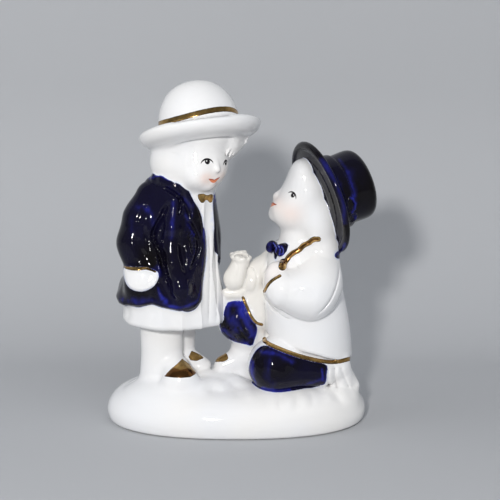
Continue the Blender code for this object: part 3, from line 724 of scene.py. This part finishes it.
def pocket_region():
    return [tuple(p) for p in spline([(123.6, 268.4), (124.4, 279), (129.6, 288), (140.6, 291.6), (151.6, 288), (157.6, 280.6), (158.4, 273.6), (155.2, 270.8), (146, 269.2), (135, 268.6)], 4, closed=True)]


# ------------------------------------------------------------------ paint
def paint(c, P, N):
    """Distances in millimetres to the edges of each painted area, positive inside."""
    x, y, z = P.T
    G = c.groups(P)
    u, v, mm = seen(x, y, z)

    def inside(*names):
        a = np.min([G[n] for n in names], axis=0)
        b = np.min([G[n] for n in G if n not in names], axis=0)
        return b - a

    def drawn(pts, near_y):
        """Area drawn in the picture, for skin nearer than near_y."""
        d = -outline(u, v, [tuple(p) for p in spline(pts, 4, closed=True)]) * mm
        return np.minimum(d, (near_y - y) * 0.5)

    def poly(pts, near_y):
        """The same with straight sides."""
        return np.minimum(-outline(u, v, pts) * mm, (near_y - y) * 0.5)

    def stroke(pts, half, near_y, taper=False):
        d, t = line_2d(u, v, spline(pts, 4))
        w = half * (0.55 + 0.45 * np.sin(np.pi * clampv(t * 1.1, 0, 1))) if taper else half
        return np.minimum(w - d * mm, (near_y - y) * 0.5)

    # cobalt
    coat = inside("coat")
    pocket = -outline(u, v, pocket_region()) * mm
    on_pocket = np.minimum(pocket, (-4 - y) * 0.5)
    coat = np.minimum(coat, -on_pocket)
    hem_line = spline([(258, 336), (264.6, 341.2), (275, 346.8), (297, 355.2), (320, 360.9), (336, 361.9), (352, 358.0)], 4)
    below = (v - np.interp(u, hem_line[:, 0], hem_line[:, 1])) * mm
    trouser = inside("trouser") - 0.15
    shin = drawn([(259.6, 349), (267, 347), (284, 352), (320, 364), (326.2, 368.6), (325.2, 383.6), (315, 385.6), (300.5, 389.6), (288, 392.2), (279, 392.8), (270, 391.2), (255.3, 385.8), (250.0, 379.2), (250.6, 366), (254.0, 356)], 2.0)
    trouser = np.where(y < 0, np.minimum(np.maximum(trouser, np.minimum(shin, 2.4 - 3 * np.abs(G["trouser"]))), np.minimum(below, shin + 0.5)), trouser)
    knee = inside("knee") - 0.1
    shown = drawn([(230.5, 300.6), (235, 298.6), (239.4, 299.9), (243.9, 302.6), (249.2, 313), (256.3, 325.2), (257.0, 331.8), (254.6, 340), (252, 345.6), (246, 344.6), (239.6, 343.2), (232.4, 340.8), (223.4, 335.4), (219.6, 324.8), (220.4, 311.6), (224.6, 304.4)], 9.0)
    knee = np.where(y < 6, np.minimum(np.maximum(knee, 1.2 - 4 * np.abs(G["knee"])), shown), knee)
    hat = inside("bhat") - 0.1
    bow = inside("bow") - 0.05
    blob = stroke([(347.4, 241.0), (346.6, 247.6), (342.6, 252.0), (338.2, 255.2)], 1.2, 2.0)
    cobalt = np.max([coat, trouser, knee, hat, bow, blob], axis=0)

    # gilt
    R = basis(GIRL_HAT_AXIS)
    q = P - np.array(GIRL_HAT)
    h = q @ R[2]
    r = np.hypot(q @ R[0], q @ R[1])
    az = np.arctan2(q @ R[1], q @ R[0])
    mid = BAND[0] + BAND[1] * np.cos(az) + BAND[2] * np.sin(az) + BAND[3] * np.cos(2 * az) + BAND[4] * np.sin(2 * az)
    band = np.minimum(0.92 - np.abs(h - mid), 15.6 - r)
    hem = 0.72 - np.abs(z - ((31.9 - 0.315 * (x - 9.7)) + 0.35))
    hem = np.minimum(hem, np.minimum(inside("bcoat") + 0.8, 2.0))
    hem_far = np.minimum(hem, (y - 2.0) * 0.5)
    hem_near = stroke([(264.6, 339), (265.4, 341.6), (275, 346.8), (297, 355.2), (320, 360.9), (336, 361.9), (350.5, 358.6)], 0.72, 3.0)
    gold = np.max(
        [
            band,
            hem_near,
            np.minimum(hem_far, 14.6 + 0 * x),
            stroke([(243, 297.6), (246.8, 306.6), (251, 316), (256.3, 322.6), (261.8, 324.6)], 0.5, 3.0),
            stroke([(264.2, 291.4), (268.6, 284), (274, 279.2), (280, 275.8)], 0.52, -3.0),
            stroke([(123.8, 266.8), (129, 268.2), (137, 268.8), (146, 268.4), (155.4, 271.6)], 0.62, -4.0, True),
            stroke(LAPEL, 0.9, -4.0),
            stroke([LAPEL[-2], LAPEL[-1]], 1.35, -4.0),
            poly([(182.2, 358.6), (176.5, 364.4), (170.5, 369.4), (163.8, 376.4), (171.5, 377.4), (180.5, 378.0), (190.2, 377.2), (194.6, 374.6), (197.6, 371.4), (190.4, 364.8)], -5.0),
            poly([(191.6, 350.6), (188.6, 356.8), (190.4, 360.2), (196.4, 361.0), (204.2, 358.0), (200.2, 354.6)], 4.0),
            drawn([(214.2, 361.4), (216.6, 358.0), (220.4, 354.4), (224.4, 352.4), (227.2, 354.6), (228.0, 359.0), (224.6, 361.4), (219.4, 361.9)], 4.0),
            drawn([(198, 194.6), (203.4, 193.8), (207, 195.2), (212.4, 194.2), (213.6, 199.4), (210.4, 203.0), (206.4, 199.8), (202.4, 203.4), (198.8, 199.6)], -4.0),
        ],
        axis=0,
    )
    cobalt = np.minimum(cobalt, -gold + 0.0 * x)
    # painted dark reflection: the gilding is coloured darker over the near shoe's tip and along the middle of the lapel
    painted_dark_gilt = poly([(160, 380), (164.5, 375.4), (173.6, 367.2), (180.6, 369.4), (187.9, 367.6), (190.2, 368.4), (199, 374), (199, 380)], -5.0)
    painted_dark_gilt = np.maximum(painted_dark_gilt, stroke(LAPEL, 0.5, -4.0))
    painted_dark_gilt = np.maximum(painted_dark_gilt, stroke([(189.6, 366.0), (193.2, 369.8), (195.4, 374.0)], 0.16, -5.0))

    # blush on cheeks, fingers and mouths
    T, fc = GIRL_LOOK, np.array(GIRL_FACE)
    q = P - fc
    s, f, w = q @ T[0], q @ T[1], q @ T[2]
    gface = G["face"] < 1.2
    blush = gface * (f > 0) * (0.55 * np.exp(-(((s + 4.0) / 2.8) ** 2 + ((w + 4.0) / 2.2) ** 2)) + 0.7 * np.exp(-(((s - 3.4) / 2.4) ** 2 + ((w + 3.2) / 2.2) ** 2)))
    blush += gface * (f > 0) * 0.5 * np.exp(-(((s) / 3.2) ** 2 + ((w + 5.0) / 3.0) ** 2))
    bface = (G["bface"] < 1.5) & (x < 25)
    for side in (-1, 1):
        blush += 0.8 * bface * (side * y > 0) * np.exp(-(((x - 18.6) / 4.0) ** 2 + ((z - 75.0) / 3.6) ** 2))
    blush += 0.5 * bface * np.exp(-(((x - 14.0) / 2.4) ** 2 + ((z - 78.0) / 2.6) ** 2))
    near_cheek = put(206.0, 177.0, -13.0)
    blush += 0.9 * gface * np.exp(-(((x - near_cheek[0]) ** 2 + (z - near_cheek[2]) ** 2) / 2.6))
    blush += 0.3 * step(1.2 - G["bhand"], 0.0, 1.0)
    # warm cream of the wrapped flowers and the far flap
    cream = step(inside("flowers", "bflap", "bfar"), -1.5, 1.5) * (y < 12)
    # where blue glaze lies thin: next to its edges and over ridges. The same curvature also lays painted shade, grey,
    # into the creases of the white
    e = 0.5
    lap = np.zeros(len(P))
    for k in range(3):
        s_ = np.zeros(3)
        s_[k] = e
        lap += c.at(P + s_) + c.at(P - s_)
    lap = (lap - 6 * c.at(P)) / (e * e)
    ridge = clampv(lap * 0.55, -1.5, 1.5)
    # strokes of the brush where the blue is thin (picture points, half-width in pixels, how thin)
    thin = np.zeros(len(P))
    for pts, half, much in (
        ([(150, 178), (159, 175.5), (168, 178.5)], 2.6, 1.0),
        ([(168, 188), (176, 193), (184, 198.5), (190, 206)], 3.2, 0.62),
        ([(173.4, 202), (173, 214), (172, 226), (171, 238)], 3.6, 1.0),
        ([(171, 246), (172, 258), (174, 268)], 3.0, 0.62),
        ([(148, 209), (152, 216), (153, 224)], 4.2, 0.85),
        ([(138, 207), (143, 206), (146, 210)], 3.4, 0.45),
        ([(131, 222), (133, 232)], 3.6, 0.42),
        ([(141, 228), (142, 238)], 3.0, 0.3),
        ([(164, 232), (162, 240), (164, 248)], 2.6, 0.35),
        ([(186, 216), (190, 226), (194, 234)], 2.4, 0.55),
        ([(203.5, 232), (204.8, 246), (203.6, 260), (201.6, 272)], 1.9, 0.75),
        ([(201.6, 278), (201, 288), (198, 300)], 1.7, 0.95),
        ([(153, 269), (158.6, 268), (160.4, 275)], 3.0, 0.7),
        ([(122, 299), (136, 301.5), (152, 300), (164, 305)], 4.6, 0.8),
        ([(158, 288), (160.4, 295), (166, 301)], 2.8, 1.05),
        ([(170, 306.5), (184, 307), (196, 302)], 1.8, 0.8),
        ([(268, 243), (272, 247), (270, 251)], 4.0, 0.75),
        ([(279, 247), (283.6, 250.4), (281, 255)], 4.0, 0.7),
        ([(273.4, 243.0), (276.2, 247.6), (275.4, 252.4)], 0.6, 1.7),
        ([(277.6, 244.6), (280.2, 249.0), (279.4, 255.0)], 0.6, 1.7),
        ([(281.2, 245.8), (283.6, 250.2), (282.4, 255.4)], 0.55, 1.6),
        # the boy's hat
        ([(321.5, 160.5), (331, 174), (338.4, 190), (343, 206), (344, 222)], 4.0, 0.9),
        ([(338.6, 159), (346.4, 171), (352, 186), (354.6, 195)], 3.0, 0.95),
        ([(352.6, 198), (356, 204), (352.6, 212), (355.6, 218)], 2.8, 0.9),
        ([(345, 243), (342, 251), (336, 255)], 3.0, 1.2),
        # the raised knee
        ([(228, 304), (238, 302), (244, 306)], 4.8, 0.9),
        ([(226, 314), (232, 322), (236, 330)], 6.4, 0.85),
        ([(242, 312), (250, 324), (253, 334)], 5.2, 0.9),
        ([(224, 330), (234, 338), (246, 343)], 3.2, 0.7),
        # the knee on the ground
        ([(253, 362), (252, 374), (256, 384)], 2.4, 0.9),
        ([(262, 388), (276, 391), (290, 390)], 2.2, 1.1),
        ([(262, 352), (276, 354), (292, 362)], 3.0, 0.8),
        ([(270, 362), (268, 374), (272, 384)], 4.0, 0.5),
        ([(296, 386), (308, 384), (320, 380)], 2.4, 0.7),
        ([(322, 369), (323, 380)], 1.4, 1.0),
    ):
        d, t = line_2d(u, v, spline(pts, 4) if len(pts) > 2 else np.array(pts, float))
        thin += much * np.exp(-((d / half) ** 2)) * step(6.0 - y, 0.0, 5.0)
    thin += 0.38 * (G["knee"] < 0.6) - 0.30 * (G["bhat"] < 0.6)
    return dict(cobalt=cobalt, gold=gold, painted_dark_gilt=painted_dark_gilt, blush=clampv(blush, 0, 1), cream=cream, ridge=ridge, thin=clampv(thin, -0.5, 2.6))


# ------------------------------------------------------------------ mesh
def one_shell(pts, quads):
    """The big shell alone: a crumb of surface closed off inside a seam is dropped."""
    lab = np.arange(len(pts))
    for _ in range(500):
        low = lab[quads].min(1)
        new = lab.copy()
        for k in range(4):
            np.minimum.at(new, quads[:, k], low)
        new = new[new]
        if (new == lab).all():
            break
        lab = new
    quads = quads[lab[quads[:, 0]] == np.bincount(lab).argmax()]
    used = np.zeros(len(pts), bool)
    used[quads] = True
    return pts[used], (np.cumsum(used) - 1)[quads]


def skin():
    c = model()
    ax, D = c.grid((-50, -32, -2), (54, 32, 124), GRID)
    g = openvdb.FloatGrid(3.0)
    g.copyFromArray(np.ascontiguousarray(np.clip(D, -3, 3), F32))
    g.transform = openvdb.createLinearTransform(voxelSize=GRID)
    pts, quads = g.convertToQuads(0.0)
    pts = pts + np.array([a[0] for a in ax])
    q = pts[quads]
    if np.einsum("ij,ij->i", q.mean(1), np.cross(q[:, 2] - q[:, 0], q[:, 3] - q[:, 1])).sum() < 0:
        quads = quads[:, ::-1]
    pts, quads = one_shell(pts, quads)
    me = bpy.data.meshes.new("figurine_skin")
    me.from_pydata(pts.tolist(), [], quads.tolist())
    me.update()
    ob = bpy.data.objects.new("figurine_skin", me)
    bpy.context.collection.objects.link(ob)
    if 2 * len(quads) > MOST_TRIANGLES:
        m = ob.modifiers.new("thin", "DECIMATE")
        m.decimate_type, m.use_collapse_triangulate = "COLLAPSE", True
        m.ratio = MOST_TRIANGLES / (2.0 * len(quads))
        got = bpy.data.meshes.new_from_object(ob.evaluated_get(bpy.context.evaluated_depsgraph_get()))
        ob.modifiers.clear()
        ob.data = got
        bpy.data.meshes.remove(me)
        me = got
        me.name = "figurine_skin"
    n = len(me.vertices)
    P = np.empty(n * 3, F32)
    me.vertices.foreach_get("co", P)
    P = P.reshape(-1, 3).astype(float)
    for _ in range(2):
        d, S = c.at(P), c.slope(P)
        P -= S * (clampv(d, -0.3, 0.3) / np.maximum((S * S).sum(1), 0.25))[:, None]
    P[:, 2] = np.maximum(P[:, 2], 0.0)
    N = c.slope(P)
    N /= np.linalg.norm(N, axis=1)[:, None] + 1e-9
    N[P[:, 2] < 0.02] = (0, 0, -1)
    me.vertices.foreach_set("co", (P * 0.001).astype(F32).ravel())
    me.update()
    me.shade_smooth()
    me.normals_split_custom_set_from_vertices(N.tolist())
    for name, values in paint(c, P, N).items():
        a = me.attributes.new(name, "FLOAT", "POINT")
        a.data.foreach_set("value", np.asarray(values, F32))
    print("skin:", len(me.vertices), "points,", sum(len(p.vertices) - 2 for p in me.polygons), "triangles")
    return ob


# ------------------------------------------------------------------ shader maths
class Value:
    """A number in a node tree, with the usual signs."""

    def __init__(self, tree, socket):
        self.tree, self.socket = tree, socket

    def _op(self, op, *others):
        n = self.tree.nodes.new("ShaderNodeMath")
        n.operation = op
        for i, o in enumerate((self, *others)):
            if isinstance(o, Value):
                self.tree.links.new(o.socket, n.inputs[i])
            else:
                n.inputs[i].default_value = float(o)
        return Value(self.tree, n.outputs[0])

    def __add__(self, o):
        return self._op("ADD", o)

    def __sub__(self, o):
        return self._op("SUBTRACT", o)

    def __mul__(self, o):
        return self._op("MULTIPLY", o)

    def __truediv__(self, o):
        return self._op("DIVIDE", o)

    def min(self, o):
        return self._op("MINIMUM", o)

    def max(self, o):
        return self._op("MAXIMUM", o)

    def abs(self):
        return self._op("ABSOLUTE")

    def sqrt(self):
        return self._op("SQRT")

    def ramp(self, lo, hi):
        """0 at lo, 1 at hi, smooth."""
        n = self.tree.nodes.new("ShaderNodeMapRange")
        n.interpolation_type = "SMOOTHSTEP"
        n.clamp = True
        self.tree.links.new(self.socket, n.inputs["Value"])
        n.inputs["From Min"].default_value, n.inputs["From Max"].default_value = lo, hi
        return Value(self.tree, n.outputs["Result"])


def porcelain():
    mat = bpy.data.materials.new("glazed_porcelain")
    mat.use_nodes = True
    t = mat.node_tree
    sh = t.nodes["Principled BSDF"]
    L = t.links.new

    def attr(name):
        n = t.nodes.new("ShaderNodeAttribute")
        n.attribute_name = name
        return Value(t, n.outputs["Fac"])

    geo = t.nodes.new("ShaderNodeTexCoord")

    def noise(scale, detail=2.0, stretch=(1, 1, 1), rough=0.5):
        m = t.nodes.new("ShaderNodeMapping")
        m.inputs["Scale"].default_value = [scale * s for s in stretch]
        L(geo.outputs["Object"], m.inputs["Vector"])
        n = t.nodes.new("ShaderNodeTexNoise")
        n.inputs["Scale"].default_value = 1.0
        n.inputs["Detail"].default_value = detail
        n.inputs["Roughness"].default_value = rough
        L(m.outputs[0], n.inputs["Vector"])
        return Value(t, n.outputs["Fac"])

    def mix(a, b, f):
        n = t.nodes.new("ShaderNodeMix")
        n.data_type = "RGBA"
        for s, v in ((n.inputs["A"], a), (n.inputs["B"], b)):
            if isinstance(v, tuple):
                s.default_value = (*v, 1.0)
            else:
                L(v, s)
        if isinstance(f, Value):
            L(f.socket, n.inputs["Factor"])
        else:
            n.inputs["Factor"].default_value = f
        return n.outputs["Result"]

    wob = noise(1900, 1.0) - 0.5
    cob = attr("cobalt") + wob * 0.22
    gil = attr("gold") + wob * 0.16
    ridge = attr("ridge")

    # ---- white glaze: cool where thick, warmer on the wrapped flowers and the flap
    tone = noise(38, 2.0)
    white = mix((0.83, 0.835, 0.85), (0.86, 0.85, 0.835), tone.ramp(0.3, 0.7))
    white = mix(white, (0.86, 0.82, 0.735), attr("cream") * 0.55)
    white = mix(white, (0.87, 0.52, 0.38), attr("blush") * 0.34)
    # painted shade: the white is mixed towards grey in concave creases, where shade falls
    white = mix(white, (0.40, 0.39, 0.40), (ridge * -1.0).ramp(0.35, 1.5) * 0.5)
    # a thin blue bloom where cobalt ran into the white beside it
    bloom = (attr("cobalt") + (noise(600, 1.0) - 0.5) * 1.2).ramp(-0.7, 0.1) * 0.32
    white = mix(white, (0.40, 0.52, 0.90), bloom)

    # ---- cobalt: near black where it pooled, bright where it is thin
    streak = noise(95, 3.0, (1.0, 1.0, 0.42), 0.62)
    fine = noise(420, 3.0, (1.0, 1.0, 0.4), 0.65)
    thin = (streak - 0.62) * 2.6 + (fine - 0.5) * 0.8 + ridge * 0.22 + attr("thin")
    thin = thin + attr("cobalt").ramp(0.6, 0.0) * 0.8
    ink_ = mix((0.0040, 0.0032, 0.0030), (0.0050, 0.0042, 0.018), tone.ramp(0.35, 0.65))
    deep = mix(ink_, (0.0080, 0.0075, 0.055), thin.ramp(-0.20, 0.75))
    blue = mix(deep, (0.019, 0.024, 0.28), thin.ramp(0.25, 1.35))

    blue = mix(blue, (0.24, 0.29, 0.50), attr("thin").ramp(1.75, 2.3))

    # ---- gilding
    worn = noise(900, 3.0)
    gilt = mix((0.37, 0.215, 0.068), (0.64, 0.42, 0.155), (worn * 0.45 + noise(240, 2.0) * 0.55).ramp(0.3, 0.7))
    # painted dark reflection: darker gilding over the near shoe's tip and down the lapel
    gilt = mix(gilt, (0.205, 0.092, 0.030), attr("painted_dark_gilt").ramp(0.0, 0.3))
    # painted dark reflection: the gilding turns near black along its edges
    gilt = mix((0.10, 0.055, 0.02), gilt, (attr("gold") + (noise(700, 1.0) - 0.5) * 0.3).ramp(0.0, 0.26))

    in_blue = cob.ramp(-0.05, 0.05)
    in_gold = gil.ramp(-0.04, 0.04)
    colour = mix(white, blue, in_blue)
    colour = mix(colour, gilt, in_gold)

    # ---- painted eyes and mouths, in each face's own plane
    pos = t.nodes.new("ShaderNodeSeparateXYZ")
    L(geo.outputs["Object"], pos.inputs[0])
    px, py, pz = (Value(t, pos.outputs[i]) * 1000.0 for i in range(3))

    def plane(c, su, sv, sn):
        a, b, d = px - c[0], py - c[1], pz - c[2]
        return tuple(a * s[0] + b * s[1] + d * s[2] for s in (su, sv, sn))

    def mark(c, su, sv, sn, deep_mm):
        """Two axes on the skin, and a gate that keeps a mark off the far side."""
        u, v, n = plane(c, su, sv, sn)
        return u, v, n.abs().ramp(deep_mm, deep_mm * 0.8)

    ink, red, line, spark = None, None, None, None

    def join(a, b):
        return b if a is None else a.max(b)

    def eye(c, su, sv, sn, size, look=(0.0, 0.0), tail=1.0):
        nonlocal ink, spark
        u, v, gate = mark(c, su, sv, sn, 3.0)
        pu, pv = u - look[0] * size, v - look[1] * size
        pupil = (((pu * pu) + (pv * pv)).sqrt() * -1.0 + 0.46 * size).ramp(-0.05, 0.05)
        hole = ((pu + 0.12 * size) * (pu + 0.12 * size) + (pv - 0.14 * size) * (pv - 0.14 * size)).sqrt()
        glint = (hole * -1.0 + 0.11 * size).ramp(-0.03, 0.03)
        # upper lid, an arc thick in the middle
        rad = 1.25 * size
        cv = v + (rad - 0.62 * size)
        ring = ((u * u + cv * cv).sqrt() - rad).abs()
        half = ((u * u) * (-0.09 / size) + 0.165 * size).max(0.07)
        lid = (half - ring).ramp(-0.04, 0.04) * u.abs().ramp(1.16 * size, 1.06 * size) * v.ramp(-0.5 * size, -0.3 * size)
        # a faint lower line
        low = ((u * u + (v - 1.0 * size) * (v - 1.0 * size)).sqrt() - 1.42 * size).abs()
        lower = (low * -1.0 + 0.035).ramp(-0.05, 0.05) * u.abs().ramp(0.5 * size, 0.35 * size) * 0.45 * v.ramp(0.0, -0.1)
        ink = join(ink, (pupil.max(lid).max(lower)) * gate)
        spark = join(spark, glint * gate)

    def mouth(c, su, sv, sn, w, h, deep_mm=3.4):
        """Corners up, a darker line above and a full lower lip."""
        nonlocal red, line
        u, v, gate = mark(c, su, sv, sn, deep_mm)
        a = u.abs()
        top = a * (0.34 * h / w) + (a * -1.0 + w * 0.3).max(0.0) * (-0.25) + 0.16 * h
        low = (u * u) * (1.22 * h / (w * w)) - 0.92 * h
        shape = (top - v).min(v - low)
        red = join(red, shape.ramp(-0.06, 0.10) * gate)
        line = join(line, (shape + 0.05).ramp(-0.05, 0.08) * (v - top + 0.24 * h).ramp(-0.10, 0.06) * gate)

    fc, T = np.array(GIRL_FACE), GIRL_LOOK

    def girl(side, up, r=12.0):
        a = math.radians(side)
        n = T[0] * math.sin(a) + T[1] * math.cos(a)
        s = T[0] * math.cos(a) - T[1] * math.sin(a)
        return tuple(fc + n * r * 0.985 + T[2] * up), tuple(s), tuple(T[2]), tuple(n)

    eye(*girl(-18.0, 1.9), 1.9, (0.05, 0.17))
    eye(*girl(24.5, 0.6), 1.8, (-0.05, 0.17))
    mouth(*girl(-4.6, -4.1), 2.25, 1.2)
    # the kneeling child's face, looking up to the left
    bn, bu = unit((-0.84, 0, 0.54)), unit((0.54, 0, 0.84))
    for side in (-1.0, 1.0):
        n = unit(bn * 0.45 + np.array([0, side * 0.89, 0]))
        s = unit(np.cross(bu, n)) * side
        eye((put(292.0, 195.4, -8.0)[0], side * 8.0, put(292.0, 195.4, -8.0)[2]), tuple(s), tuple(bu), tuple(n), 1.7, (-0.12, 0.12))
    mouth(put(274.6, 203.8, -0.5), (0.0, 1.0, 0.0), tuple(unit((0.50, 0, 0.86))), tuple(unit((-0.86, 0, 0.50))), 4.6, 1.75, 5.0)

    colour = mix(colour, (0.78, 0.21, 0.075), red * 0.92)
    colour = mix(colour, (0.30, 0.045, 0.02), line * 0.85)
    colour = mix(colour, (0.012, 0.010, 0.012), ink)
    colour = mix(colour, (0.80, 0.80, 0.80), spark)

    # ---- the unglazed underside
    foot = pz.ramp(0.10, 0.02)
    colour = mix(colour, (0.70, 0.68, 0.64), foot)

    L(colour, sh.inputs["Base Color"])
    L(in_gold.socket, sh.inputs["Metallic"])
    rough = (noise(260, 2.0) - 0.5) * 0.05 + 0.085 + in_gold * 0.13 + foot * 0.4
    L(rough.socket, sh.inputs["Roughness"])
    sh.inputs["IOR"].default_value = 1.5
    sh.inputs["Specular IOR Level"].default_value = 0.21
    # the glaze isn't quite even
    bump = t.nodes.new("ShaderNodeBump")
    bump.inputs["Strength"].default_value = 0.32
    bump.inputs["Distance"].default_value = 0.00022
    L((noise(110, 2.0) + cob.ramp(-0.25, 0.3) * 0.35 + gil.ramp(-0.2, 0.2) * 0.3).socket, bump.inputs["Height"])
    L(bump.outputs[0], sh.inputs["Normal"])
    return mat


figurine = skin()
figurine.data.materials.clear()
figurine.data.materials.append(porcelain())
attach(figurine, "root")
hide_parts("figurine")


# ------------------------------------------------------------------ table, backdrop and lights
def plain(name, colour, rough):
    m = bpy.data.materials.new(name)
    m.use_nodes = True
    s = m.node_tree.nodes["Principled BSDF"]
    s.inputs["Base Color"].default_value = (*colour, 1)
    s.inputs["Roughness"].default_value = rough
    s.inputs["Specular IOR Level"].default_value = 0.2
    return m


def sweep():
    """A pale sheet that lies flat and curves up behind."""
    w, near, back, r, top = 1.6, -1.2, 0.16, 0.10, 0.9
    rows = [(near, 0.0), (-0.4, 0.0), (-0.1, 0.0), (back - r, 0.0)]
    rows += [(back - r + r * math.sin(a), r - r * math.cos(a)) for a in np.linspace(0.05, math.pi / 2, 24)]
    rows += [(back, top)]
    vs = [(sx * w, y, z - 0.0002) for y, z in rows for sx in (-1, 1)]
    fs = [(2 * i, 2 * i + 1, 2 * i + 3, 2 * i + 2) for i in range(len(rows) - 1)]
    me = bpy.data.meshes.new("backdrop")
    me.from_pydata(vs, [], fs)
    me.shade_smooth()
    ob = bpy.data.objects.new("backdrop", me)
    bpy.context.collection.objects.link(ob)
    me.materials.append(plain("pale_paper", (0.490, 0.500, 0.517), 0.75))


sweep()


def area(name, at, to, size, watts, colour=(1, 1, 1), tall=None):
    d = bpy.data.lights.new(name, "AREA")
    d.energy, d.color, d.size = watts, colour, size
    if tall:
        d.shape, d.size_y = "RECTANGLE", tall
    o = bpy.data.objects.new(name, d)
    bpy.context.collection.objects.link(o)
    o.location = at
    o.rotation_euler = (Vector(to) - Vector(at)).to_track_quat("-Z", "Y").to_euler()
    return o


CENTRE = (0.0, 0.0, 0.055)
area("flash", (-0.10, -0.62, 0.30), CENTRE, 0.045, 2.75, (1.0, 0.985, 0.965))
for name, at, size, watts in (("window", (-0.70, -0.10, 0.50), 0.6, 1.7), ("ceiling", (0.42, -0.50, 0.72), 0.9, 2.6)):
    area(name, at, CENTRE, size, watts, (0.95, 0.97, 1.0)).visible_glossy = False
world = bpy.data.worlds.new("room")
bpy.context.scene.world = world
world.use_nodes = True
world.node_tree.nodes["Background"].inputs[0].default_value = (0.62, 0.65, 0.70, 1)
world.node_tree.nodes["Background"].inputs[1].default_value = 0.30

cam = bpy.data.cameras.new("camera")
cam.lens, cam.sensor_width = FOCUS * 36.0 / 500.0, 36.0
cam.clip_start = 0.01
eye_ob = bpy.data.objects.new("camera", cam)
bpy.context.collection.objects.link(eye_ob)
eye_ob.location = [e * 0.001 for e in EYE]
eye_ob.rotation_euler = (math.radians(90) - LOOKS_DOWN, 0, 0)
bpy.context.scene.camera = eye_ob
bpy.context.scene.view_settings.view_transform = "Standard"
